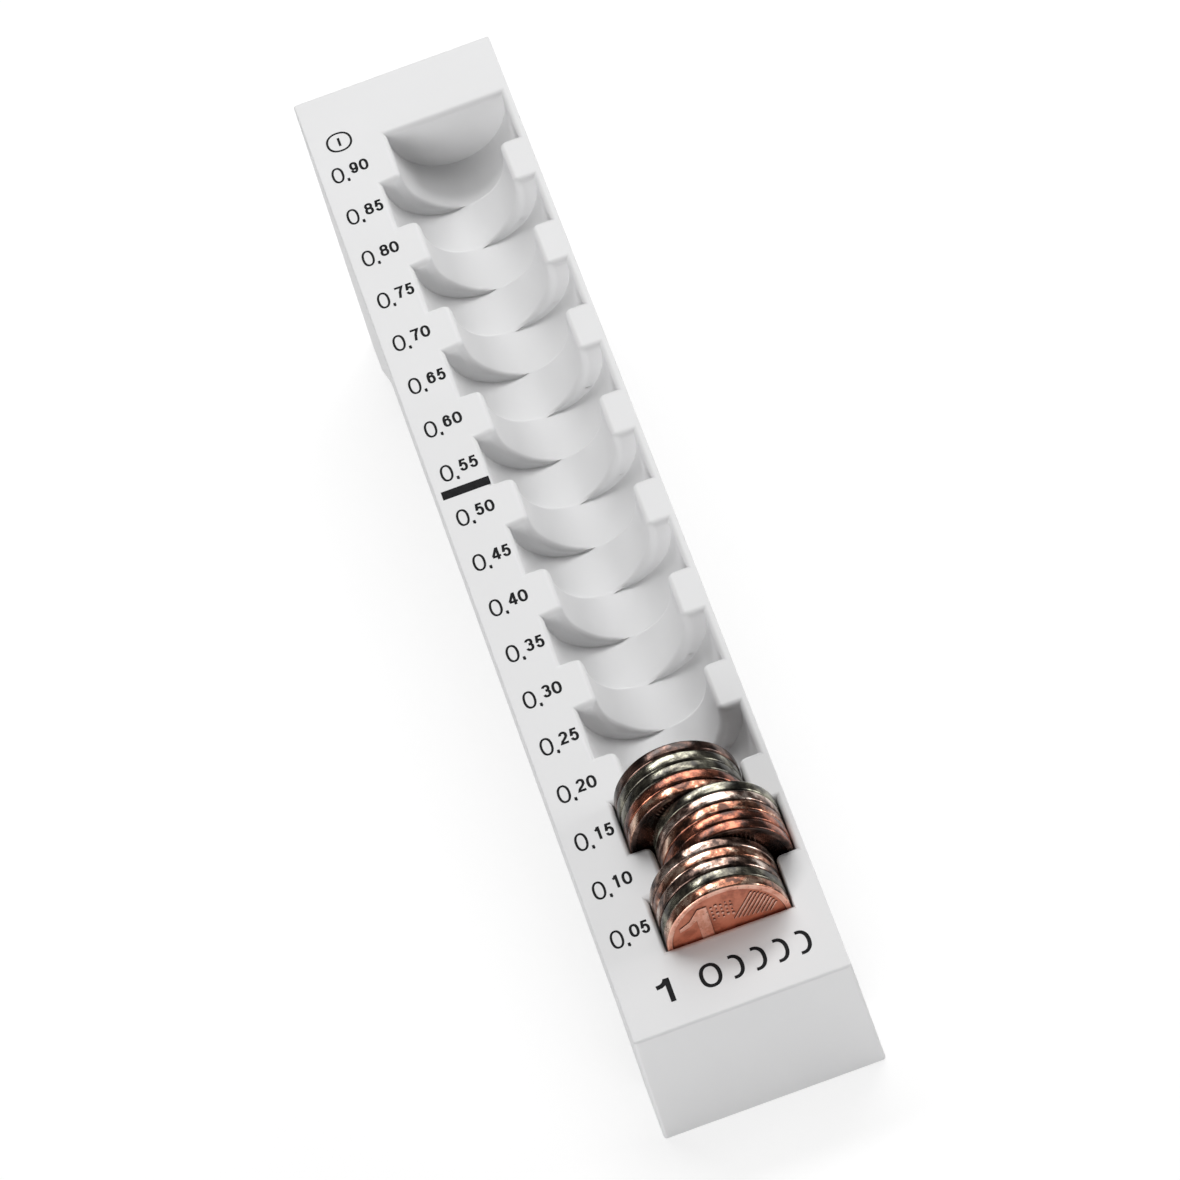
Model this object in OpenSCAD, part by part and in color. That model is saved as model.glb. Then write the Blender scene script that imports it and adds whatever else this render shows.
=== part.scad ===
// Coin counting tray for one size of coin. The tray is one thin-walled moulding
// that slopes down to the front. A channel of round-bottomed pockets runs along it,
// each pocket stepped to the other side of the one before it, and each pocket
// takes one row of coins standing on edge. The first pockets are filled.

/* [Coins] */
// Diameter of one coin
coin_diameter = 16.25; // [15:0.05:17.5]
// Thickness of one coin at its lip
coin_thickness = 1.67; // [1.4:0.01:1.9]
// Number of coins that one pocket counts
coins_per_pocket = 5; // [3:1:6]
// Width of the raised lip round each face
lip_width = 0.75; // [0.5:0.05:1.2]
// Depth of the field inside the lip
lip_height = 0.16; // [0.08:0.01:0.25]
// Height of the figure on each front face, from foot to head
figure_height = 11.6; // [6:0.2:12]
// Width of the stroke of the figure
figure_stroke = 1.6; // [1:0.1:1.9]
// Distance of the figure's stem from the middle of the coin
figure_offset = 2.5; // [1.5:0.1:3]
// Relief of the figure and ribs above the field
relief_height = 0.12; // [0.04:0.01:0.16]
// Number of ribs beside the figure
rib_count = 6; // [3:1:8]
// Width of one rib
rib_width = 0.35; // [0.2:0.05:0.5]
// Distance from one rib to the next
rib_pitch = 0.8; // [0.7:0.05:1]
// Slant of the ribs, in degrees
rib_slant_deg = 38; // [0:1:45]

/* [Pockets] */
// Number of pockets
pocket_count = 18; // [6:1:18]
// Gap all round a coin in the round-bottomed pocket
coin_side_gap = 0.125; // [0.1:0.005:0.3]
// Free length left in a pocket when its coins are in
row_slack = 0.165; // [0.1:0.005:0.4]
// Extra length of the last pocket
last_pocket_extra = 0.3; // [0:0.05:1]
// Step from the left pockets to the right pockets
stagger = 2.8; // [1.5:0.1:4]
// Depth of the pocket axis below the top face
axis_drop = 1.1; // [0:0.1:1.6]
// Gap under the lowest point of a coin
coin_seat_gap = 0.05; // [0.03:0.01:0.15]

/* [Tray] */
// Width of the top face left of the pockets, where the amounts are marked
label_margin = 7.7; // [6:0.1:12]
// Width of the rim right of the pockets
right_margin = 1.25; // [0.8:0.05:3]
// Length of the top face in front of the first pocket
front_margin = 12.5; // [8:0.5:24]
// Length of the top face behind the last pocket
rear_margin = 11.5; // [6:0.5:24]
// Height of the front face
front_height = 16.5; // [14:0.5:24]
// Rise of the top face towards the rear, in degrees
slope_deg = 8.1; // [5:0.1:11]
// Outward lean of the long sides below the top face, in degrees
side_draft_deg = 1.25; // [0:0.05:3]

/* [Walls] */
// Thickness of the top face
top_wall = 1.6; // [1.2:0.1:2.2]
// Thickness of the long sides
side_wall = 1.4; // [1:0.1:2]
// Thickness of the front and rear faces
end_wall = 1.8; // [1.2:0.1:2.6]
// Thickness of the channel below and behind the pockets
channel_wall = 1.5; // [1:0.1:2]
// Thickness of the cross webs under the channel
web_wall = 1.3; // [0.9:0.1:2]
// Number of cross webs under the channel
web_count = 3; // [0:1:5]

/* [Stand] */
// Height of the long sides where they hang clear of the table
skirt_height = 12; // [11.6:0.2:13]
// Length of the flat foot at the front
front_foot = 10; // [5:0.5:16]
// Length of the flat foot at the rear
rear_foot = 8; // [4:0.5:16]
// Length of the slanted edge behind the front foot
front_brace = 9; // [4:0.5:16]
// Length of the slanted edge in front of the rear foot
rear_brace = 35; // [20:0.5:60]

/* [Hidden] */
$fn = 96;
pad = 5;

pocket_r = coin_diameter / 2 + coin_side_gap;
pocket_pitch = coins_per_pocket * coin_thickness + row_slack;
coin_gap = row_slack / (coins_per_pocket + 1);
coin_drop = axis_drop + coin_side_gap - coin_seat_gap;
top_width = label_margin + 2 * pocket_r + stagger + right_margin;
channel_length = pocket_count * pocket_pitch + last_pocket_extra;
tray_length = front_margin + channel_length * cos(slope_deg) + rear_margin;
rear_height = front_height + tray_length * tan(slope_deg);
slope_length = tray_length / cos(slope_deg);
side_x = top_width / 2 + pad;

y_front = -tray_length / 2;
y_rear = tray_length / 2;
s_pockets = front_margin / cos(slope_deg);
left_axis_x = -top_width / 2 + label_margin + pocket_r;
right_axis_x = left_axis_x + stagger;

// Height of the top face at a distance y along the table
function top_z(y) = front_height + (y - y_front) * tan(slope_deg);
// Sideways place of a pocket's axis: even steps are left, odd steps right
function pocket_x(step) = step % 2 == 0 ? left_axis_x : right_axis_x;
// Front wall of a pocket, as a distance up the slope
function pocket_s(step) = s_pockets + step * pocket_pitch;
function pocket_len(step) = pocket_pitch + (step == pocket_count - 1 ? last_pocket_extra : 0);
tray_grey = [0.90, 0.90, 0.91];
coin_copper = [0.78, 0.47, 0.37];

// Frame of the top face: x across, y up the slope, z out of the face
module on_top_face() {
    translate([0, y_front, front_height]) rotate([slope_deg, 0, 0]) children();
}

// A cross-section in x and z of the top face's frame, drawn along the slope
module along_slope(section) {
    on_top_face() translate([0, slope_length + pad, 0]) rotate([90, 0, 0])
        linear_extrude(height = slope_length + 2 * pad) polygon(section);
}

// A side view in y and z, drawn straight across the tray
module across_tray(outline) {
    rotate([90, 0, 90]) linear_extrude(height = 2 * side_x, center = true) polygon(outline);
}

// A slab between two upright planes that face along the table
module upright_slab(y0, y1) {
    translate([-side_x, y0, -pad]) cube([2 * side_x, y1 - y0, rear_height + 2 * pad]);
}

// A round bar along the slope, from one distance up the slope to another
module slope_rod(axis_x, radius, s0, s1) {
    on_top_face() translate([axis_x, s0, -axis_drop]) rotate([-90, 0, 0])
        cylinder(h = s1 - s0, r = radius);
}

// The outside of the tray, with its leaning sides, before the ends are cut
module outer_form() {
    reach = rear_height + pad;
    lean = reach * tan(side_draft_deg);
    half = top_width / 2;
    along_slope([[-half, 0], [half, 0], [half + lean, -reach], [-half - lean, -reach]]);
}

// The hollow under the top face and between the long sides
module inner_form() {
    reach = rear_height + pad;
    half_top = top_width / 2 - side_wall + top_wall * tan(side_draft_deg);
    half_low = top_width / 2 - side_wall + reach * tan(side_draft_deg);
    along_slope([[-half_top, -top_wall], [half_top, -top_wall], [half_low, -reach],
        [-half_low, -reach]]);
}

// Side view of the whole tray
module side_block() {
    top = rear_height + pad;
    across_tray([[y_front, 0], [y_rear, 0], [y_rear, top], [y_front, top]]);
}

// Side view of the space between the feet, under the long sides
module under_arch() {
    y1 = y_front + front_foot;
    y2 = y1 + front_brace;
    y3 = y_rear - rear_foot - rear_brace;
    y4 = y_rear - rear_foot;
    across_tray([[y1, -pad], [y1, 0], [y2, top_z(y2) - skirt_height],
        [y3, top_z(y3) - skirt_height], [y4, 0], [y4, -pad]]);
}

module channel_shell() {
    s0 = s_pockets - channel_wall;
    s1 = s_pockets + channel_length + channel_wall;
    intersection() {
        union() {
            slope_rod(left_axis_x, pocket_r + channel_wall, s0, s1);
            slope_rod(right_axis_x, pocket_r + channel_wall, s0, s1);
        }
        outer_form();
    }
}

// Upright webs that tie the channel to the long sides
module cross_webs() {
    step = channel_length * cos(slope_deg) / (web_count + 1);
    intersection() {
        outer_form();
        union() {
            for (i = [1:1:web_count]) {
                y = y_front + front_margin + i * step - web_wall / 2;
                translate([-side_x, y, top_z(y) - skirt_height + web_wall])
                    cube([2 * side_x, web_wall, skirt_height - web_wall - top_wall / 2]);
            }
        }
    }
}

// Round at the bottom, straight-sided above its axis, its ends square to the top face
module pocket(step) {
    s0 = pocket_s(step);
    slope_rod(pocket_x(step), pocket_r, s0, s0 + pocket_len(step));
    on_top_face() translate([pocket_x(step) - pocket_r, s0, -axis_drop])
        cube([2 * pocket_r, pocket_len(step), axis_drop + pad]);
}

module tray() {
    color(tray_grey)
    difference() {
        union() {
            difference() {
                intersection() {
                    outer_form();
                    side_block();
                }
                intersection() {
                    inner_form();
                    upright_slab(y_front + end_wall, y_rear - end_wall);
                }
                under_arch();
            }
            channel_shell();
            cross_webs();
        }
        for (step = [0:1:pocket_count - 1]) pocket(step);
    }
}

// Figure one with its stem centred and a long flag, in the plane of the coin's face
module figure_one() {
    half = figure_height / 2;
    stem = figure_stroke / 2;
    flag = 2 * figure_stroke;
    polygon([[stem, -half], [stem, half], [-stem * 0.5, half],
        [-flag, half - 1.5 * figure_stroke], [-flag, half - 1.9 * figure_stroke],
        [-stem, half - 1.15 * figure_stroke], [-stem, -half]]);
}

// Slanted ribs on the right half of the face, as long as the field allows
module ribs() {
    field_r = coin_diameter / 2 - lip_width;
    intersection() {
        circle(r = field_r - rib_width);
        translate([rib_pitch, -field_r]) square([field_r, 2 * field_r]);
        rotate([0, 0, -rib_slant_deg])
            for (i = [0:1:rib_count - 1])
                translate([rib_pitch * (i + 1), -field_r]) square([rib_width, 2 * field_r]);
    }
}

// One coin, its axis along the slope and its marked face to the front
module coin(spin) {
    r = coin_diameter / 2;
    field_r = r - lip_width;
    edge = min(0.15, coin_thickness / 8);
    rotate([0, spin, 0]) rotate([90, 0, 0]) {
        rotate_extrude() polygon([[0, -coin_thickness / 2 + lip_height],
            [field_r, -coin_thickness / 2 + lip_height], [field_r + edge, -coin_thickness / 2],
            [r - edge, -coin_thickness / 2], [r, -coin_thickness / 2 + edge],
            [r, coin_thickness / 2 - edge], [r - edge, coin_thickness / 2],
            [field_r + edge, coin_thickness / 2], [field_r, coin_thickness / 2 - lip_height],
            [0, coin_thickness / 2 - lip_height]]);
        translate([0, 0, coin_thickness / 2 - lip_height - relief_height])
            linear_extrude(height = 2 * relief_height) {
                translate([-figure_offset, 0]) figure_one();
                ribs();
            }
    }
}

// A coin in its place: the number counts from the front of the tray
module placed_coin(number) {
    index = number - 1;
    step = floor(index / coins_per_pocket);
    place = index % coins_per_pocket;
    s = pocket_s(step) + coin_gap + place * (coin_thickness + coin_gap) + coin_thickness / 2;
    color(coin_copper)
    on_top_face() translate([pocket_x(step), s, -coin_drop]) coin(spin = index * 137);
}

module coin_01() { placed_coin(1); }
module coin_02() { placed_coin(2); }
module coin_03() { placed_coin(3); }
module coin_04() { placed_coin(4); }
module coin_05() { placed_coin(5); }
module coin_06() { placed_coin(6); }
module coin_07() { placed_coin(7); }
module coin_08() { placed_coin(8); }
module coin_09() { placed_coin(9); }
module coin_10() { placed_coin(10); }
module coin_11() { placed_coin(11); }
module coin_12() { placed_coin(12); }
module coin_13() { placed_coin(13); }
module coin_14() { placed_coin(14); }
module coin_15() { placed_coin(15); }

tray();
coin_01();
coin_02();
coin_03();
coin_04();
coin_05();
coin_06();
coin_07();
coin_08();
coin_09();
coin_10();
coin_11();
coin_12();
coin_13();
coin_14();
coin_15();
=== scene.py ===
import math

import bmesh
import bpy
from mathutils import Matrix, Quaternion, Vector


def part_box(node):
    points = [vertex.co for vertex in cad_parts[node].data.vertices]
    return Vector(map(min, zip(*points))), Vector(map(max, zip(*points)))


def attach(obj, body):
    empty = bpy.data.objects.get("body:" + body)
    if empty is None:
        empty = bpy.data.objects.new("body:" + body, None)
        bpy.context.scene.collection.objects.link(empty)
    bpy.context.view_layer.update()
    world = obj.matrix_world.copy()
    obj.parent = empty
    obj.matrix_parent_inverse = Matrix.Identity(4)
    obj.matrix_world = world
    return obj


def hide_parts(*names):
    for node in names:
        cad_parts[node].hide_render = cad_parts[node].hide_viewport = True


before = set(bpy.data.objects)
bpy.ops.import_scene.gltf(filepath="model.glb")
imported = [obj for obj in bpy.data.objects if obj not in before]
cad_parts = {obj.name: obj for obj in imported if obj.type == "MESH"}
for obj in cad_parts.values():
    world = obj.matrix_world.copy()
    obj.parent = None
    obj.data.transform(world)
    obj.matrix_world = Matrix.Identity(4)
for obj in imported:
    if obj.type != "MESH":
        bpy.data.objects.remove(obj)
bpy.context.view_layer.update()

trayLow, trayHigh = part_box("tray")
mm = 0.001

# The tray's driving sizes
traySize = {
    "slope": math.radians(8.1),
    "frontHeight": 16.5 * mm,
    "topWidth": 28.25 * mm,
    "sideLean": math.radians(1.25),
    "frontMargin": 12.5 * mm,
    "pocketPitch": 8.515 * mm,
    "pocketCount": 18,
    "coinsPerPocket": 5,
    "lastExtra": 0.3 * mm,
    "pocketRadius": 8.25 * mm,
    "axisDrop": 1.1 * mm,
    "labelMargin": 7.7 * mm,
    "stagger": 2.8 * mm,
}

yFront = trayLow.y
yRear = trayHigh.y
pocketsStart = traySize["frontMargin"] / math.cos(traySize["slope"])
channelLength = traySize["pocketCount"] * traySize["pocketPitch"] + traySize["lastExtra"]
slopeLength = (yRear - yFront) / math.cos(traySize["slope"])
leftAxisX = -traySize["topWidth"] / 2 + traySize["labelMargin"] + traySize["pocketRadius"]
rightAxisX = leftAxisX + traySize["stagger"]
overlap = 5 * mm  # how far a cutting tool reaches past what it cuts
cutTolerance = 1e-7

# x across, y up the slope, z out of the top face, from the front edge's middle
frontEdge = Vector((0, yFront, traySize["frontHeight"]))
topFace = Matrix.Translation(frontEdge) @ Matrix.Rotation(traySize["slope"], 4, "X")
toTopFace = topFace.inverted()
topNormal = (topFace.to_3x3() @ Vector((0, 0, 1))).normalized()
slopeAlong = (topFace.to_3x3() @ Vector((0, 1, 0))).normalized()


def topHeight(y):
    return traySize["frontHeight"] + (y - yFront) * math.tan(traySize["slope"])


# Small helpers
def deselectAll():
    for thing in list(bpy.context.selected_objects):
        thing.select_set(False)


def makeActive(piece):
    deselectAll()
    piece.select_set(True)
    bpy.context.view_layer.objects.active = piece


def addObject(name, data):
    thing = bpy.data.objects.new(name, data)
    bpy.context.scene.collection.objects.link(thing)
    return thing


def addBlock(name, low, high):
    deselectAll()
    low, high = Vector(low), Vector(high)
    bpy.ops.mesh.primitive_cube_add(size=1, location=(low + high) / 2)
    block = bpy.context.object
    block.name = name
    block.scale = high - low
    bpy.ops.object.transform_apply(location=True, rotation=True, scale=True)
    return block


def addRod(name, radius, axisX, sides):
    # along the slope, round the axis of one side's pockets
    deselectAll()
    bpy.ops.mesh.primitive_cylinder_add(vertices=sides, radius=radius, depth=slopeLength + 2 * overlap,
                                        location=(axisX, slopeLength / 2, -traySize["axisDrop"]),
                                        rotation=(math.pi / 2, 0, 0))
    rod = bpy.context.object
    rod.name = name
    bpy.ops.object.transform_apply(location=True, rotation=True, scale=True)
    rod.data.transform(topFace)
    return rod


def cutAway(piece, point, normal):
    # takes away what lies on the normal's side of a plane
    makeActive(piece)
    bpy.ops.object.mode_set(mode="EDIT")
    bpy.ops.mesh.select_all(action="SELECT")
    bpy.ops.mesh.bisect(plane_co=point, plane_no=Vector(normal).normalized(), use_fill=True,
                        clear_outer=True, threshold=cutTolerance)
    bpy.ops.object.mode_set(mode="OBJECT")


def cutToLength(piece, start, end):
    # keeps what lies between two planes square to the slope
    cutAway(piece, topFace @ Vector((0, start, 0)), -slopeAlong)
    cutAway(piece, topFace @ Vector((0, end, 0)), slopeAlong)


def applyModifier(piece, name, kind, **settings):
    makeActive(piece)
    modifier = piece.modifiers.new(name, kind)
    for key, value in settings.items():
        setattr(modifier, key, value)
    bpy.ops.object.modifier_apply(modifier=modifier.name)


def combine(piece, tool, operation):
    applyModifier(piece, "cut", "BOOLEAN", object=tool, operation=operation, solver="EXACT")
    bpy.data.objects.remove(tool)


def mergeCorners(piece, distance, flatten=0, outwards=False):
    # joins corners that lie together, and clears the edges inside flat faces
    makeActive(piece)
    bpy.ops.object.mode_set(mode="EDIT")
    bpy.ops.mesh.select_all(action="SELECT")
    bpy.ops.mesh.remove_doubles(threshold=distance)
    if flatten:
        bpy.ops.mesh.dissolve_limited(angle_limit=flatten)
    if outwards:
        bpy.ops.mesh.normals_make_consistent(inside=False)
    bpy.ops.object.mode_set(mode="OBJECT")


def joinAll(name, parts):
    deselectAll()
    for part in parts:
        part.select_set(True)
    bpy.context.view_layer.objects.active = parts[0]
    if len(parts) > 1:
        bpy.ops.object.join()
    parts[0].name = name
    return parts[0]


def smoothByAngle(piece, degrees):
    makeActive(piece)
    bpy.ops.object.shade_smooth_by_angle(angle=math.radians(degrees))


# Tray
walls = {
    "top": 1.6 * mm,
    "side": 1.4 * mm,
    "end": 1.8 * mm,
    "channel": 1.5 * mm,
    "web": 1.3 * mm,
    "webCount": 3,
    "skirt": 12.0 * mm,
    "frontFoot": 10.0 * mm,
    "rearFoot": 8.0 * mm,
    "frontBrace": 9.0 * mm,
    "rearBrace": 35.0 * mm,
    "arcSides": 128,
    "pocketOverlap": 0.002 * mm,
    "aboveAxis": 0.05 * mm,
    "merge": 0.001 * mm,
}


def leaningBlock(name, halfTop, drop, halfGrowth):
    # a block under the top face whose long sides lean outwards
    reach = trayHigh.z + overlap
    block = addBlock(name, (-halfTop, -overlap, -reach), (halfTop, slopeLength + overlap, -drop))
    halfLow = halfTop + halfGrowth
    for corner in block.data.vertices:
        if corner.co.z < -reach / 2:
            corner.co.x = math.copysign(halfLow, corner.co.x)
    block.data.transform(topFace)
    return block


def pocketCutter(axisX, start, end):
    # round below the pocket's axis, with straight sides above it
    cutter = addRod("pocket", traySize["pocketRadius"], axisX, walls["arcSides"])
    for corner in cutter.data.vertices:
        place = toTopFace @ corner.co
        if place.z + traySize["axisDrop"] > walls["aboveAxis"]:
            place.x = axisX + math.copysign(traySize["pocketRadius"], place.x - axisX)
            place.z = overlap
            corner.co = topFace @ place
    mergeCorners(cutter, walls["merge"], outwards=True)
    cutToLength(cutter, start - walls["pocketOverlap"], end + walls["pocketOverlap"])
    return cutter


def makeTray():
    half = traySize["topWidth"] / 2
    lean = math.tan(traySize["sideLean"])
    reach = trayHigh.z + overlap
    shell = leaningBlock("tray_shell", half, 0, reach * lean)
    cutAway(shell, (0, yFront, 0), (0, -1, 0))
    cutAway(shell, (0, yRear, 0), (0, 1, 0))
    cutAway(shell, (0, 0, 0), (0, 0, -1))

    # the channel and the webs are cut out of the hollow, which is then cut out of the shell
    hollow = leaningBlock("hollow", half - walls["side"] + walls["top"] * lean, walls["top"],
                          (reach - walls["top"]) * lean)
    cutAway(hollow, (0, yFront + walls["end"], 0), (0, -1, 0))
    cutAway(hollow, (0, yRear - walls["end"], 0), (0, 1, 0))
    for axisX in (leftAxisX, rightAxisX):
        rod = addRod("channelRod", traySize["pocketRadius"] + walls["channel"], axisX, walls["arcSides"])
        cutToLength(rod, pocketsStart - walls["channel"], pocketsStart + channelLength + walls["channel"])
        combine(hollow, rod, "DIFFERENCE")
    webStep = channelLength * math.cos(traySize["slope"]) / (walls["webCount"] + 1)
    for index in range(1, walls["webCount"] + 1):
        y = yFront + traySize["frontMargin"] + index * webStep - walls["web"] / 2
        low = topHeight(y) - walls["skirt"] + walls["web"]
        high = topHeight(y) - walls["top"] / 2
        web = addBlock("web", (-2 * half, y, low), (2 * half, y + walls["web"], high))
        combine(hollow, web, "DIFFERENCE")
    combine(shell, hollow, "DIFFERENCE")

    # the space between the feet, with a slanted edge at either end
    y1 = yFront + walls["frontFoot"]
    y2 = y1 + walls["frontBrace"]
    y3 = yRear - walls["rearFoot"] - walls["rearBrace"]
    y4 = yRear - walls["rearFoot"]
    z2 = topHeight(y2) - walls["skirt"]
    z3 = topHeight(y3) - walls["skirt"]
    arch = addBlock("arch", (-2 * half, y1, -overlap), (2 * half, y4, trayHigh.z))
    cutAway(arch, (0, y1, 0), (0, -z2, y2 - y1))
    cutAway(arch, (0, y2, z2), (0, -math.sin(traySize["slope"]), math.cos(traySize["slope"])))
    cutAway(arch, (0, y4, 0), (0, z3, y4 - y3))
    combine(shell, arch, "DIFFERENCE")

    # from the front, the first pocket is on the left, the second on the right, and so on
    for side, axisX in ((0, leftAxisX), (1, rightAxisX)):
        cutters = []
        for step in range(side, traySize["pocketCount"], 2):
            start = pocketsStart + step * traySize["pocketPitch"]
            end = start + traySize["pocketPitch"]
            if step == traySize["pocketCount"] - 1:
                end += traySize["lastExtra"]
            cutters.append(pocketCutter(axisX, start, end))
        combine(shell, joinAll("pockets", cutters), "DIFFERENCE")
    return shell


trayShell = makeTray()
print("tray faces", len(trayShell.data.polygons))

# what each kind of edge is rounded by
rounding = {
    "stepFront": 1.25 * mm,
    "stepRear": 1.35 * mm,
    "stepTop": 0.95 * mm,
    "pocketRim": 0.75 * mm,
    "outerTop": 0.3 * mm,
    "corner": 0.5 * mm,
    "foot": 0.25 * mm,
    "segments": 5,
    "frontShare": 0.7,
    "rearShare": 0.85,
    "smoothBelow": 35,
    "mergeBefore": 0.01 * mm,
    "mergeAfter": 0.002 * mm,
    "flatten": math.radians(0.2),
}
# how the kinds of edge are told apart
edgeTest = {
    "leastAngle": math.radians(20),
    "parallel": 0.999,
    "acrossSlope": 0.9,
    "inPlane": 0.02 * mm,
    "onArc": 0.06 * mm,
    "nearChannel": 0.1 * mm,
    "nearSide": 0.2 * mm,
    "nearCorner": 1.2 * mm,
    "nearSkirt": 0.1 * mm,
}


def wallDistance(point, axisX):
    # how far a point lies from a pocket's axis, straight across above it and round it below
    rise = point.z + traySize["axisDrop"]
    return abs(point.x - axisX) if rise > 0 else math.hypot(point.x - axisX, rise)


def stepThickness(point, axisX):
    # how thick the step between two pockets is at a point on the edge of one of them
    otherX = rightAxisX if axisX == leftAxisX else leftAxisX
    return traySize["pocketRadius"] - wallDistance(point, otherX)


def onPocketWall(distance):
    # whether a place up the slope lies in the plane between two pockets, or in an end wall
    steps = (distance - pocketsStart) / traySize["pocketPitch"]
    nearest = round(min(steps, traySize["pocketCount"]))
    extra = traySize["lastExtra"] if nearest == traySize["pocketCount"] else 0
    return abs(distance - pocketsStart - nearest * traySize["pocketPitch"] - extra) < edgeTest["inPlane"]


def edgeRounding(edge):
    if len(edge.link_faces) != 2 or not edge.is_convex:
        return 0
    normals = [face.normal for face in edge.link_faces]
    if normals[0].angle(normals[1]) < edgeTest["leastAngle"]:
        return 0
    middle = (edge.verts[0].co + edge.verts[1].co) / 2
    point = toTopFace @ middle
    half = traySize["topWidth"] / 2
    near = edgeTest["nearChannel"]
    inChannel = pocketsStart - near < point.y < pocketsStart + channelLength + near
    onTop = [n.dot(topNormal) > edgeTest["parallel"] for n in normals]
    if any(onTop):
        other = normals[0] if onTop[1] else normals[1]
        if inChannel and abs(point.x) < half - edgeTest["nearSide"]:
            across = abs(other.dot(slopeAlong)) > edgeTest["acrossSlope"]
            return rounding["stepTop" if across else "pocketRim"]
        return rounding["outerTop"]
    square = [abs(n.dot(slopeAlong)) > edgeTest["parallel"] for n in normals]
    if any(square) and inChannel and onPocketWall(point.y):
        wall = normals[0] if square[0] else normals[1]
        for axisX in (leftAxisX, rightAxisX):
            if abs(wallDistance(point, axisX) - traySize["pocketRadius"]) < edgeTest["onArc"]:
                room = max(0, stepThickness(point, axisX))
                if wall.dot(slopeAlong) < 0:
                    return min(room * rounding["frontShare"], rounding["stepFront"])
                return min(room * rounding["rearShare"], rounding["stepRear"])
    atEnd = any(abs(n.y) > edgeTest["parallel"] for n in normals)
    if atEnd and abs(abs(point.x) - half) < edgeTest["nearCorner"]:
        return rounding["corner"]
    if middle.z < topHeight(middle.y) - walls["skirt"] + edgeTest["nearSkirt"]:
        return rounding["foot"]
    return 0


def roundTray(shell):
    mergeCorners(shell, rounding["mergeBefore"], rounding["flatten"])
    shape = bmesh.new()
    shape.from_mesh(shell.data)
    weight = shape.edges.layers.float.new("bevel_weight_edge")
    # one bevel rounds them all, each by its share of the widest
    widest = rounding["stepRear"]
    for edge in shape.edges:
        edge[weight] = edgeRounding(edge) / widest
    shape.to_mesh(shell.data)
    shape.free()
    applyModifier(shell, "rounding", "BEVEL", limit_method="WEIGHT", width=widest,
                  segments=rounding["segments"], use_clamp_overlap=False, miter_outer="MITER_SHARP")
    mergeCorners(shell, rounding["mergeAfter"])
    smoothByAngle(shell, rounding["smoothBelow"])
    applyModifier(shell, "evenNormals", "WEIGHTED_NORMAL", keep_sharp=True)


roundTray(trayShell)
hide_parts("tray")
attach(trayShell, "tray")
print("tray rounded, faces", len(trayShell.data.polygons))


# Coins
coinSize = {
    "thickness": 1.67 * mm,
    "lipWidth": 0.72 * mm,
    "lipSlope": 0.11 * mm,
    "lipDepth": 0.24 * mm,
    "fieldMargin": 0.6 * mm,
    "edgeRound": 0.3 * mm,
    "edgeSegments": 4,
    "relief": 0.2 * mm,
    "reliefSunk": 0.05 * mm,
    "reliefRound": 0.05 * mm,
    "reliefSegments": 2,
    "figureHeight": 11.6 * mm,
    "figureStroke": 1.6 * mm,
    "figureOffset": 2.7 * mm,
    # the figure's flag, in strokes from the middle of the stem's top
    "figureFlag": ((-0.25, 0), (-1.1, -1.05), (-2.0, -1.5), (-2.0, -1.85), (-1.1, -1.55), (-0.5, -1.15)),
    "ribCount": 9,
    "ribWidth": 0.26 * mm,
    "ribPitch": 0.56 * mm,
    "ribFall": 0.1 * mm,
    "ribStart": (0.9 * mm, 1.9 * mm),
    "ribSlant": math.radians(38),
    "dotColumns": 5,
    "dotRows": 4,
    "dotPitch": 0.62 * mm,
    "dotRowStretch": 1.15,
    "dotColumnShift": 0.2 * mm,
    "dotStart": (-1.4 * mm, 3.0 * mm),
    "dotSize": 0.34 * mm,
    "dotShare": (0.8, 0.3),
    "sides": 128,
    "spinStep": 137,
    "looseness": 0.05 * mm,
    "sway": (2.3, 4.1),
    "smoothBelow": 30,
    "near": 0.01 * mm,
    "flatFace": 0.8,
}


def raisedShape(name, outlines, low, high):
    # flat outlines, filled and raised to a solid
    shape = bmesh.new()
    for outline in outlines:
        shape.faces.new([shape.verts.new((x, y, low)) for x, y in outline])
    mesh = bpy.data.meshes.new(name)
    shape.to_mesh(mesh)
    shape.free()
    piece = addObject(name, mesh)
    makeActive(piece)
    bpy.ops.object.mode_set(mode="EDIT")
    bpy.ops.mesh.select_all(action="SELECT")
    bpy.ops.mesh.extrude_region_move(TRANSFORM_OT_translate={"value": (0, 0, high - low)})
    bpy.ops.mesh.select_all(action="SELECT")
    bpy.ops.mesh.normals_make_consistent(inside=False)
    bpy.ops.object.mode_set(mode="OBJECT")
    return piece


def figureOutline():
    # a figure one with a long flag, its stem left of the middle
    stroke = coinSize["figureStroke"]
    stem = stroke / 2
    top = coinSize["figureHeight"] / 2
    middle = -coinSize["figureOffset"]
    corners = [(stem, -top), (stem, top)]
    corners += [(x * stroke, top + y * stroke) for x, y in coinSize["figureFlag"]]
    corners.append((-stem, -top))
    return [(middle + x, y) for x, y in corners]


def ribOutlines(field):
    # slanted ribs in the upper right of the face, each as long as the field allows
    along = Vector((math.sin(coinSize["ribSlant"]), math.cos(coinSize["ribSlant"])))
    side = Vector((coinSize["ribWidth"], 0))
    x, y = coinSize["ribStart"]
    outlines = []
    for index in range(coinSize["ribCount"]):
        start = Vector((x + index * coinSize["ribPitch"], y - index * coinSize["ribFall"]))
        span = start.dot(along)
        room = span ** 2 - start.length_squared + field ** 2
        if room <= 0:
            continue
        length = math.sqrt(room) - span
        if length > coinSize["ribPitch"]:
            end = start + along * length
            outlines.append([tuple(start), tuple(start + side), tuple(end + side), tuple(end)])
    return outlines


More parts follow.
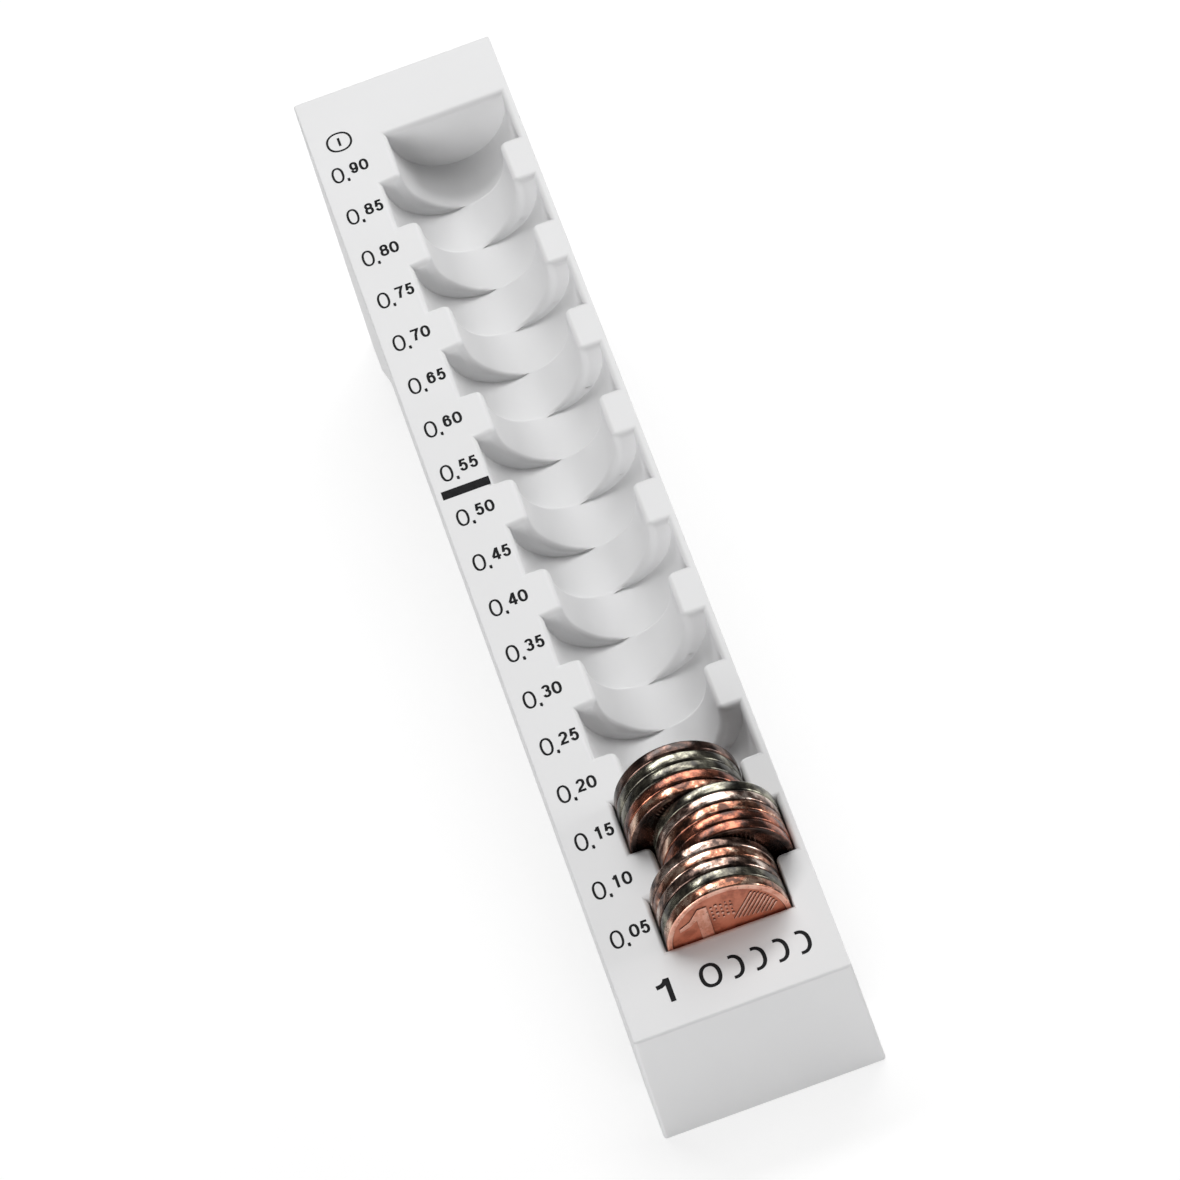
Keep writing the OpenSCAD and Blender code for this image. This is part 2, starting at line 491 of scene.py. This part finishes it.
def dotOutlines():
    # a small field of raised squares between the figure and the ribs, each of its own size
    left, low = coinSize["dotStart"]
    least, spread = coinSize["dotShare"]
    outlines = []
    for column in range(coinSize["dotColumns"]):
        for row in range(coinSize["dotRows"]):
            half = coinSize["dotSize"] / 2 * (least + spread * math.sin(5 * column + 3 * row))
            x = left + column * coinSize["dotPitch"]
            y = low + row * coinSize["dotPitch"] * coinSize["dotRowStretch"]
            y += (column % 2) * coinSize["dotColumnShift"]
            outlines.append([(x - half, y - half), (x + half, y - half),
                             (x + half, y + half), (x - half, y + half)])
    return outlines


def selectRims(coin, radius):
    # the two round edges where the flat faces meet the rim
    near = coinSize["near"]
    for edge in coin.data.edges:
        ends = [coin.data.vertices[v].co for v in edge.vertices]
        atRim = all(abs(end.to_2d().length - radius) < near for end in ends)
        edge.select = atRim and abs(ends[0].z - ends[1].z) < near


def makeCoin(radius):
    # lies flat, marked face up
    thickness = coinSize["thickness"]
    deselectAll()
    bpy.ops.mesh.primitive_cylinder_add(vertices=coinSize["sides"], radius=radius, depth=thickness)
    coin = bpy.context.object
    coin.name = "coinBlank"
    bpy.ops.object.mode_set(mode="EDIT")
    bpy.ops.mesh.select_mode(type="FACE")
    bpy.ops.mesh.select_all(action="DESELECT")
    bpy.ops.object.mode_set(mode="OBJECT")
    for face in coin.data.polygons:
        face.select = abs(face.normal.z) > coinSize["flatFace"]
    bpy.ops.object.mode_set(mode="EDIT")
    bpy.ops.mesh.inset(thickness=coinSize["lipWidth"], depth=0)
    bpy.ops.mesh.inset(thickness=coinSize["lipSlope"], depth=-coinSize["lipDepth"])
    bpy.ops.mesh.inset(thickness=coinSize["fieldMargin"], depth=0)
    bpy.ops.mesh.select_mode(type="EDGE")
    bpy.ops.mesh.select_all(action="DESELECT")
    bpy.ops.object.mode_set(mode="OBJECT")
    selectRims(coin, radius)
    bpy.ops.object.mode_set(mode="EDIT")
    bpy.ops.mesh.bevel(offset=coinSize["edgeRound"], segments=coinSize["edgeSegments"], affect="EDGES")
    bpy.ops.mesh.select_mode(type="VERT")
    bpy.ops.object.mode_set(mode="OBJECT")
    field = radius - coinSize["lipWidth"] - coinSize["fieldMargin"]
    top = thickness / 2 - coinSize["lipDepth"]
    # the outlines don't overlap, because crossing solids would spoil the union
    outlines = [figureOutline()] + ribOutlines(field) + dotOutlines()
    relief = raisedShape("relief", outlines, top - coinSize["reliefSunk"], top + coinSize["relief"])
    applyModifier(relief, "soften", "BEVEL", width=coinSize["reliefRound"],
                  segments=coinSize["reliefSegments"], limit_method="ANGLE")
    combine(coin, relief, "UNION")
    # the first finish goes on the rim, the second on the lips and the tops of the relief,
    # the third on the flat faces and the last, dark dirt with painted shade, on the walls in the recesses
    for face in coin.data.polygons:
        fromAxis = face.center.to_2d().length
        inside = fromAxis < radius - coinSize["lipWidth"] + 0.5 * coinSize["lipSlope"]
        raised = face.center.z > top + 0.5 * coinSize["relief"]
        if abs(face.normal.z) > coinSize["flatFace"]:
            face.material_index = 2 if inside and not raised else 1
        else:
            face.material_index = 3 if inside else 0
    return coin


coinLow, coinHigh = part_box("coin_01")
coinBlank = makeCoin((coinHigh.x - coinLow.x) / 2)
coinNames = sorted(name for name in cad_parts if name.startswith("coin_"))
coinPieces = []
for index, name in enumerate(coinNames):
    low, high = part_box(name)
    middle = (low + high) / 2
    # the coins lie a little unevenly, within the room that they have
    sideways = math.sin(index * coinSize["sway"][0]) * coinSize["looseness"]
    upwards = (1 + math.sin(index * coinSize["sway"][1])) * coinSize["looseness"]
    middle += Vector((sideways, 0, 0)) + topNormal * upwards
    spin = math.radians(index * coinSize["spinStep"])
    turned = Matrix.Rotation(traySize["slope"], 4, "X") @ Matrix.Rotation(spin, 4, "Y")
    place = Matrix.Translation(middle) @ turned @ Matrix.Rotation(math.pi / 2, 4, "X")
    piece = addObject("struck_" + name, coinBlank.data.copy())
    piece.data.transform(place)
    smoothByAngle(piece, coinSize["smoothBelow"])
    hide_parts(name)
    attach(piece, name)
    coinPieces.append(piece)
bpy.data.objects.remove(coinBlank)
print("coins", len(coinPieces), "faces each", len(coinPieces[0].data.polygons))


# Print on the top face, placed from the front left corner of the face
printSize = {
    "ink": 0.02 * mm,
    "sunk": 0.01 * mm,
    "merge": 0.0005 * mm,
    "flatten": math.radians(0.5),
    "curve": 0.89,
    "sharpest": 0.45,
    "firstAmount": 16.75 * mm,
    "amountPitch": 8.53 * mm,
    "amountLeft": 1.66 * mm,
    "wholeWidth": 1.68 * mm,
    "wholeHeight": 3.03 * mm,
    "wholeStroke": 0.31 * mm,
    "centsHeight": 2.15 * mm,
    "centsStroke": 0.36 * mm,
    "firstCents": 4.88 * mm,
    "secondCents": 6.27 * mm,
    "digitWidths": {"0": 1.27 * mm, "1": 1.1 * mm, "4": 1.2 * mm, "8": 1.2 * mm},
    "digitWidth": 1.12 * mm,
    "commaStem": ((0.21 * mm, 0.40 * mm), (0.21 * mm, 0)),
    "commaTail": ((0.30 * mm, 0.06 * mm), (0.13 * mm, -0.16 * mm)),
    "commaStroke": 0.36 * mm,
    "commaPlace": (1.86 * mm, -0.02 * mm),
    "bar": ((0.90 * mm, 98.33 * mm), (7.45 * mm, 98.33 * mm)),
    "barStroke": 1.5 * mm,
    "oneStem": ((6.47 * mm, 4.28 * mm), (6.47 * mm, 8.18 * mm)),
    "oneFlag": ((4.95 * mm, 7.12 * mm), (5.60 * mm, 7.20 * mm), (6.05 * mm, 7.48 * mm),
                (6.36 * mm, 8.10 * mm)),
    "oneStroke": 0.66 * mm,
    "rowPlace": (11.75 * mm, 6.2 * mm),
    "rowRadii": (1.15 * mm, 1.7 * mm),
    "rowPitch": 2.9 * mm,
    "rowArc": (-100, 100, 16),
    "rowStroke": 0.5 * mm,
    "signPlace": (4.2 * mm, 167.9 * mm),
    "signRadii": (1.65 * mm, 1.75 * mm),
    "signSteps": 36,
    "signStroke": 0.3 * mm,
    "signStem": ((4.2 * mm, 167.1 * mm), (4.2 * mm, 168.7 * mm)),
    "signStemStroke": 0.34 * mm,
}


def arcLine(centre, radii, start, end, count=12):
    # part of a slightly squared ellipse, in degrees from its right end
    curve = printSize["curve"]
    points = []
    for step in range(count + 1):
        angle = math.radians(start + (end - start) * step / count)
        across, up = math.cos(angle), math.sin(angle)
        points.append((centre[0] + radii[0] * math.copysign(abs(across) ** curve, across),
                       centre[1] + radii[1] * math.copysign(abs(up) ** curve, up)))
    return points


def ringLine(centre, radii, count=28):
    return arcLine(centre, radii, 0, 360, count)[:-1]


def digitLines(digit, width, height, stroke):
    # the middle lines of one digit's strokes, and whether each is a closed ring
    a = stroke / 2
    mid, rx, ry = width / 2, width / 2 - a, height / 2 - a
    inner = height - stroke
    if digit == "0":
        return [(ringLine((mid, height / 2), (rx, ry)), True)]
    if digit == "1":
        stem = mid + 0.28 * stroke
        flag = [(stem - 1.2 * stroke, 0.735 * height), (stem - 0.55 * stroke, 0.79 * height),
                (stem - 0.1 * stroke, 0.965 * height)]
        return [([(stem, 0), (stem, height)], False), (flag, False)]
    if digit == "2":
        r = 0.29 * height - a * 0.6
        bow = arcLine((mid, height - a - r), (rx, r), 172, -25)
        tail = [(mid + 0.35 * rx, 0.42 * height), (a + 0.35 * stroke, 0.24 * height),
                (a, a), (width - a * 0.4, a)]
        return [(bow + tail, False)]
    if digit == "3":
        r1, r2 = inner * 0.235, inner * 0.28
        waist = mid - 0.2 * rx
        upper = arcLine((mid, height - a - r1), (rx * 0.92, r1), 165, -85, 14)
        lower = arcLine((mid, a + r2), (rx, r2), 85, -165, 14)
        return [(upper + [(waist, height - a - 2 * r1)], False), ([(waist, a + 2 * r2)] + lower, False)]
    if digit == "4":
        stem = 0.70 * width
        return [([(stem, 0), (stem, height)], False),
                ([(width, 0.27 * height), (a * 0.55, 0.27 * height)], False),
                ([(a * 0.9, 0.22 * height + a), (stem - a * 0.3, height - a * 0.6)], False)]
    if digit == "5":
        r = inner * 0.33
        top = [(width - a * 0.8, height - a), (0.26 * width + a * 0.3, height - a),
               (a + 0.02 * width, 0.43 * height)]
        return [(top, False), (arcLine((mid, a + r), (rx, r), 142, -165, 18), False)]
    if digit == "7":
        return [([(0, height - a), (width - a * 0.8, height - a), (0.55 * width, 0.5 * height),
                  (0.40 * width, 0)], False)]
    if digit == "8":
        r1, r2 = inner * 0.235, inner * 0.275
        return [(ringLine((mid, height - a - r1), (rx * 0.88, r1), 22), True),
                (ringLine((mid, a + r2), (rx, r2), 22), True)]
    # six, and nine as a six turned round
    r = inner * 0.325
    lines = [(ringLine((mid, a + r), (rx, r), 22), True),
             (arcLine((mid, height / 2), (rx, ry), 215, 25, 16), False)]
    if digit == "9":
        lines = [([(width - x, height - y) for x, y in points], closed) for points, closed in lines]
    return lines


def strokeSolid(name, points, closed, stroke, height):
    # a flat ribbon along a middle line, raised to a solid
    count = len(points)
    sides = []
    for index, point in enumerate(points):
        before = Vector(points[index - 1 if closed or index else 0])
        after = Vector(points[(index + 1) % count if closed or index < count - 1 else index])
        here = Vector(point)
        turns = [(b - a).normalized() for a, b in ((before, here), (here, after)) if (b - a).length > 0]
        normals = [Vector((-t.y, t.x)) for t in turns]
        middle = sum(normals, Vector((0, 0))).normalized()
        reach = stroke / 2 / max(printSize["sharpest"], middle.dot(normals[0]))
        sides.append((here + middle * reach, here - middle * reach))
    shape = bmesh.new()
    rows = [[shape.verts.new((p.x, p.y, z)) for z in (0, height) for p in pair] for pair in sides]
    for index in range(count if closed else count - 1):
        one, two = rows[index], rows[(index + 1) % count]
        for a, b in ((0, 1), (1, 3), (3, 2), (2, 0)):
            shape.faces.new((one[a], one[b], two[b], two[a]))
    if not closed:
        shape.faces.new([rows[0][i] for i in (0, 2, 3, 1)])
        shape.faces.new([rows[-1][i] for i in (0, 1, 3, 2)])
    bmesh.ops.recalc_face_normals(shape, faces=shape.faces)
    mesh = bpy.data.meshes.new(name)
    shape.to_mesh(mesh)
    shape.free()
    return addObject(name, mesh)


def strokeShape(name, lines, stroke):
    # the strokes of one sign, made one solid
    inkHeight = printSize["ink"] + printSize["sunk"]
    solids = [strokeSolid(name, points, closed, stroke, inkHeight) for points, closed in lines]
    sign = solids[0]
    for other in solids[1:]:
        combine(sign, other, "UNION")
    return sign


def layInk(name, parts):
    # puts the print on the top face, sunk a little into it
    piece = joinAll(name, parts)
    mergeCorners(piece, printSize["merge"], printSize["flatten"])
    piece.data.transform(topFace @ Matrix.Translation((-traySize["topWidth"] / 2, 0, -printSize["sunk"])))
    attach(piece, "tray")
    return piece


def signCopy(sign, left, low):
    piece = addObject(sign.name, sign.data.copy())
    piece.data.transform(Matrix.Translation((left, low, 0)))
    return piece


def printAmounts():
    # one amount beside each pocket
    stroke = printSize["centsStroke"]
    signs, widths = {}, {}
    for digit in "0123456789":
        widths[digit] = printSize["digitWidths"].get(digit, printSize["digitWidth"])
        lines = digitLines(digit, widths[digit], printSize["centsHeight"], stroke)
        signs[digit] = strokeShape("digit", lines, stroke)
    wholeLines = digitLines("0", printSize["wholeWidth"], printSize["wholeHeight"], printSize["wholeStroke"])
    whole = strokeShape("whole", wholeLines, printSize["wholeStroke"])
    comma = strokeShape("comma", [(printSize["commaStem"], False), (printSize["commaTail"], False)],
                        printSize["commaStroke"])
    commaAhead, commaUp = printSize["commaPlace"]
    left = printSize["amountLeft"]
    laid = []
    for number in range(traySize["pocketCount"]):
        amount = "%02d" % (traySize["coinsPerPocket"] * (number + 1))
        low = printSize["firstAmount"] + number * printSize["amountPitch"] - printSize["wholeHeight"] / 2
        parts = [signCopy(whole, left, low), signCopy(comma, left + commaAhead, low + commaUp)]
        raised = low + printSize["wholeHeight"] - printSize["centsHeight"]
        for digit, centre in zip(amount, (printSize["firstCents"], printSize["secondCents"])):
            parts.append(signCopy(signs[digit], centre - widths[digit] / 2, raised))
        laid.append(layInk("amount_" + amount, parts))
    for sign in list(signs.values()) + [whole, comma]:
        bpy.data.objects.remove(sign)
    return laid


def printMarks():
    # the bar halfway, the figure one and a row of coins at the front, and the coin sign at the rear
    bar = strokeShape("bar", [(printSize["bar"], False)], printSize["barStroke"])
    one = strokeShape("one", [(printSize["oneStem"], False), (printSize["oneFlag"], False)],
                      printSize["oneStroke"])
    x, y = printSize["rowPlace"]
    row = []
    for step in range(traySize["coinsPerPocket"]):
        centre = (x + step * printSize["rowPitch"], y)
        # the first coin shows all round, the others as far as the coin before lets them
        if step == 0:
            line = ringLine(centre, printSize["rowRadii"])
        else:
            line = arcLine(centre, printSize["rowRadii"], *printSize["rowArc"])
        row.append(strokeShape("coinRow", [(line, step == 0)], printSize["rowStroke"]))
    signLine = ringLine(printSize["signPlace"], printSize["signRadii"], printSize["signSteps"])
    ring = strokeShape("ring", [(signLine, True)], printSize["signStroke"])
    stem = strokeShape("stem", [(printSize["signStem"], False)], printSize["signStemStroke"])
    return [layInk("half_mark", [bar]), layInk("front_mark", [one] + row), layInk("coin_mark", [ring, stem])]


inkPieces = printAmounts() + printMarks()
print("print pieces", len(inkPieces))


# Finishes: a noise is its scale, detail and roughness, a ramp its places and colours
plasticLook = {
    "cloud": (60, 4, 0.5),
    "colours": ((0.3, (0.775, 0.775, 0.780, 1)), (0.7, (0.800, 0.800, 0.803, 1))),
    "roughness": ((0.3, (0.40, 0.40, 0.40, 1)), (0.7, (0.50, 0.50, 0.50, 1))),
    "grain": (3500, 2, 0.6),
    "grainStrength": 0.15,
    "grainDepth": 0.02 * mm,
    "gloss": {"IOR": 1.49, "Specular IOR Level": 0.32},
}
inkLook = {
    "spots": (1800, 3, 0.5),
    "colours": ((0.3, (0.006, 0.006, 0.007, 1)), (0.7, (0.014, 0.014, 0.016, 1))),
    "gloss": {"Roughness": 0.7, "Specular IOR Level": 0.12},
}
coinLook = {
    "stain": (420, 6, 0.65),
    "stainPlaces": (0.40, 0.5, 0.60),
    "fine": (2600, 3, 0.6),
    "finePlaces": (0.3, 0.7),
    "smoother": 0.06,
    "rougher": 0.08,
    "fineStrength": 0.25,
    "fineDepth": 0.03 * mm,
    "IOR": 1.9,
}


def newFinish(name):
    finish = bpy.data.materials.new(name)
    finish.use_nodes = True
    finish.node_tree.nodes.clear()
    return finish


def addNode(finish, kind, **values):
    # the values are set on the node's own sockets
    node = finish.node_tree.nodes.new(kind)
    for socket, value in values.items():
        node.inputs[socket].default_value = value
    return node


def link(finish, source, output, target, socket):
    finish.node_tree.links.new(source.outputs[output], target.inputs[socket])


def noiseOn(finish, place, scale, detail, roughness):
    noise = addNode(finish, "ShaderNodeTexNoise", Scale=scale, Detail=detail, Roughness=roughness)
    link(finish, place, "Object", noise, "Vector")
    return noise


def rampOn(finish, noise, stops):
    ramp = addNode(finish, "ShaderNodeValToRGB")
    elements = ramp.color_ramp.elements
    while len(elements) > 1:
        elements.remove(elements[-1])
    elements[0].position, elements[0].color = stops[0]
    for position, colour in stops[1:]:
        elements.new(position).color = colour
    link(finish, noise, "Fac", ramp, "Fac")
    return ramp


def finishShader(finish, **sockets):
    shader = addNode(finish, "ShaderNodeBsdfPrincipled", **sockets)
    out = addNode(finish, "ShaderNodeOutputMaterial")
    link(finish, shader, "BSDF", out, "Surface")
    return shader


def bumpOn(finish, shader, noise, strength, distance):
    bump = addNode(finish, "ShaderNodeBump", Strength=strength, Distance=distance)
    link(finish, noise, "Fac", bump, "Height")
    link(finish, bump, "Normal", shader, "Normal")


def mouldedPlastic():
    finish = newFinish("mouldedGreyPlastic")
    place = addNode(finish, "ShaderNodeTexCoord")
    cloud = noiseOn(finish, place, *plasticLook["cloud"])
    colour = rampOn(finish, cloud, plasticLook["colours"])
    grain = noiseOn(finish, place, *plasticLook["grain"])
    rough = rampOn(finish, cloud, plasticLook["roughness"])
    shader = finishShader(finish, **plasticLook["gloss"])
    link(finish, colour, "Color", shader, "Base Color")
    link(finish, rough, "Color", shader, "Roughness")
    bumpOn(finish, shader, grain, plasticLook["grainStrength"], plasticLook["grainDepth"])
    return finish


def blackInk():
    finish = newFinish("blackInk")
    place = addNode(finish, "ShaderNodeTexCoord")
    spots = noiseOn(finish, place, *inkLook["spots"])
    colour = rampOn(finish, spots, inkLook["colours"])
    shader = finishShader(finish, **inkLook["gloss"])
    link(finish, colour, "Color", shader, "Base Color")
    return finish


def coinMetal(name, bright, worn, dark, roughness, metallic):
    finish = newFinish(name)
    place = addNode(finish, "ShaderNodeTexCoord")
    stain = noiseOn(finish, place, *coinLook["stain"])
    stains = [shade + (1,) for shade in (dark, worn, bright)]
    colour = rampOn(finish, stain, list(zip(coinLook["stainPlaces"], stains)))
    fine = noiseOn(finish, place, *coinLook["fine"])
    low, high = roughness - coinLook["smoother"], roughness + coinLook["rougher"]
    levels = [(level, level, level, 1) for level in (low, high)]
    rough = rampOn(finish, fine, list(zip(coinLook["finePlaces"], levels)))
    shader = finishShader(finish, Metallic=metallic, IOR=coinLook["IOR"])
    link(finish, colour, "Color", shader, "Base Color")
    link(finish, rough, "Color", shader, "Roughness")
    bumpOn(finish, shader, fine, coinLook["fineStrength"], coinLook["fineDepth"])
    return finish


# bright, worn and dark places of each metal, its roughness and how bare it is
coinMetals = {
    "paleCopper": ((0.95, 0.56, 0.43), (0.88, 0.44, 0.32), (0.70, 0.28, 0.18), 0.32, 0.5),
    "freshCopper": ((0.72, 0.25, 0.15), (0.64, 0.205, 0.118), (0.46, 0.13, 0.07), 0.36, 0.4),
    "paleRim": ((0.70, 0.58, 0.51), (0.26, 0.165, 0.13), (0.035, 0.02, 0.016), 0.19, 0.9),
    "warmRim": ((0.72, 0.50, 0.38), (0.30, 0.12, 0.07), (0.05, 0.02, 0.013), 0.20, 0.9),
    "rubbedCopper": ((0.42, 0.14, 0.08), (0.16, 0.05, 0.028), (0.04, 0.016, 0.011), 0.21, 0.85),
    "brownCopper": ((0.20, 0.12, 0.095), (0.07, 0.035, 0.026), (0.018, 0.011, 0.009), 0.18, 0.8),
    "greyCopper": ((0.28, 0.27, 0.21), (0.10, 0.092, 0.07), (0.022, 0.02, 0.016), 0.19, 0.8),
    # painted shade: a dark copy of the face copper, for the faces that lie in the stacks' shade
    "shadedFaceCopper": ((0.12, 0.045, 0.028), (0.04, 0.016, 0.011), (0.012, 0.007, 0.006), 0.26, 0.8),
    # dark dirt together with painted shade, for the walls of the lip and the relief
    "coinDirtAndShade": ((0.09, 0.025, 0.015), (0.045, 0.014, 0.009), (0.02, 0.008, 0.006), 0.45, 0.4),
}
# rim, lip and face of each coin, from the front; every face behind the first is a darkened copy of the
# copper, painted shade
coinFinishes = [
    ("warmRim", "paleCopper", "freshCopper"),
    ("greyCopper", "greyCopper", "shadedFaceCopper"),
    ("paleRim", "brownCopper", "shadedFaceCopper"),
    ("warmRim", "paleRim", "shadedFaceCopper"),
    ("paleRim", "brownCopper", "shadedFaceCopper"),
    ("rubbedCopper", "brownCopper", "shadedFaceCopper"),
    ("rubbedCopper", "rubbedCopper", "shadedFaceCopper"),
    ("warmRim", "rubbedCopper", "shadedFaceCopper"),
    ("paleRim", "brownCopper", "shadedFaceCopper"),
    ("greyCopper", "greyCopper", "shadedFaceCopper"),
    ("warmRim", "brownCopper", "shadedFaceCopper"),
    ("rubbedCopper", "rubbedCopper", "shadedFaceCopper"),
    ("greyCopper", "greyCopper", "shadedFaceCopper"),
    ("greyCopper", "greyCopper", "shadedFaceCopper"),
    ("brownCopper", "brownCopper", "shadedFaceCopper"),
]


def dress(piece, finishes):
    piece.data.materials.clear()
    for finish in finishes:
        piece.data.materials.append(finish)


dress(trayShell, [mouldedPlastic()])
ink = blackInk()
for piece in inkPieces:
    dress(piece, [ink])
metals = {name: coinMetal(name, *values) for name, values in coinMetals.items()}
for piece, names in zip(coinPieces, coinFinishes):
    # clearing the list sets every face back to the first finish, so the faces' choices are put back
    choices = [face.material_index for face in piece.data.polygons]
    # the last finish paints the recess walls dark, as dirt and painted shade together
    dress(piece, [metals[name] for name in names + ("coinDirtAndShade",)])
    piece.data.polygons.foreach_set("material_index", choices)
print("finishes done")


# Floor, light and camera
studio = {
    "floorSize": 12.0,
    "floorDrop": 0.02 * mm,
    "floorCloud": (8, 2, 0.5),
    "floorColours": ((0.3, (0.78, 0.78, 0.78, 1)), (0.7, (0.80, 0.80, 0.80, 1))),
    "seenFloor": (0.3, 0.3, 0.3, 1),
    "seenGlow": 0.75,
    "worldLight": 0.08,
    "lampDistance": 1.75,
    "aim": (0, 0, 0.02),
    # azimuth 0 is the front, 90 the right side; then elevation, width, height and watts
    "lamps": {
        "rearLamp": (191, 53, 1.05, 0.35, 12.4),
        "rearRightLamp": (150, 42, 0.80, 0.80, 8.4),
        "highRightLamp": (135, 65, 0.80, 0.80, 6.6),
        "rightLamp": (90, 12, 0.80, 0.80, 12.0),
        "frontLeftLamp": (328, 12, 0.80, 0.80, 16.0),
    },
}
photoView = {
    "sensor": 36,
    "lens": 254.37,
    "place": (-0.014055, -0.845823, 0.690491),
    "turn": (0.88699287, 0.42804644, 0.06901195, -0.15892527),
    "nearest": 0.05,
    "farthest": 20,
}


def largerOf(finish, one, oneOutput, two, twoOutput):
    larger = addNode(finish, "ShaderNodeMath")
    larger.operation = "MAXIMUM"
    link(finish, one, oneOutput, larger, 0)
    link(finish, two, twoOutput, larger, 1)
    return larger


def makeFloor():
    deselectAll()
    bpy.ops.mesh.primitive_plane_add(size=studio["floorSize"], location=(0, 0, -studio["floorDrop"]))
    floor = bpy.context.object
    floor.name = "studioFloor"
    finish = newFinish("palePaper")
    place = addNode(finish, "ShaderNodeTexCoord")
    cloud = noiseOn(finish, place, *studio["floorCloud"])
    colour = rampOn(finish, cloud, studio["floorColours"])
    diffuse = addNode(finish, "ShaderNodeBsdfDiffuse")
    link(finish, colour, "Color", diffuse, "Color")
    # the camera and the gloss see a brighter floor, which still takes the tray's shadow
    seen = addNode(finish, "ShaderNodeBsdfDiffuse", Color=studio["seenFloor"])
    glow = addNode(finish, "ShaderNodeEmission", Strength=studio["seenGlow"])
    white = addNode(finish, "ShaderNodeAddShader")
    link(finish, seen, "BSDF", white, 0)
    link(finish, glow, "Emission", white, 1)
    path = addNode(finish, "ShaderNodeLightPath")
    direct = largerOf(finish, path, "Is Camera Ray", path, "Is Glossy Ray")
    either = largerOf(finish, direct, "Value", path, "Is Transmission Ray")
    mix = addNode(finish, "ShaderNodeMixShader")
    link(finish, either, "Value", mix, "Fac")
    link(finish, diffuse, "BSDF", mix, 1)
    link(finish, white, "Shader", mix, 2)
    out = addNode(finish, "ShaderNodeOutputMaterial")
    link(finish, mix, "Shader", out, "Surface")
    floor.data.materials.append(finish)


def makeWorld():
    # a dim room, which the metal mirrors between the lamps
    world = bpy.data.worlds.new("studioWorld")
    bpy.context.scene.world = world
    world.use_nodes = True
    room = world.node_tree.nodes["Background"]
    room.inputs["Color"].default_value = (1, 1, 1, 1)
    room.inputs["Strength"].default_value = studio["worldLight"]


def addLamp(name, azimuth, elevation, width, height, power):
    light = bpy.data.lights.new(name, "AREA")
    light.shape = "RECTANGLE"
    light.size = width
    light.size_y = height
    light.energy = power
    lamp = addObject(name, light)
    around, up = math.radians(azimuth), math.radians(elevation)
    away = Vector((math.sin(around) * math.cos(up), -math.cos(around) * math.cos(up), math.sin(up)))
    lamp.location = Vector(studio["aim"]) + away * studio["lampDistance"]
    lamp.rotation_mode = "QUATERNION"
    lamp.rotation_quaternion = away.to_track_quat("Z", "Y")
    lamp.visible_camera = False


def makeCamera():
    camera = bpy.data.cameras.new("studioCamera")
    camera.sensor_width = photoView["sensor"]
    camera.lens = photoView["lens"]
    camera.clip_start = photoView["nearest"]
    camera.clip_end = photoView["farthest"]
    cameraObject = addObject("studioCamera", camera)
    cameraObject.location = photoView["place"]
    cameraObject.rotation_mode = "QUATERNION"
    cameraObject.rotation_quaternion = Quaternion(photoView["turn"])
    bpy.context.scene.camera = cameraObject


makeFloor()
makeWorld()
for name, values in studio["lamps"].items():
    addLamp(name, *values)
makeCamera()
bpy.context.scene.view_settings.view_transform = "Standard"
print("studio done, lamps", len(studio["lamps"]))
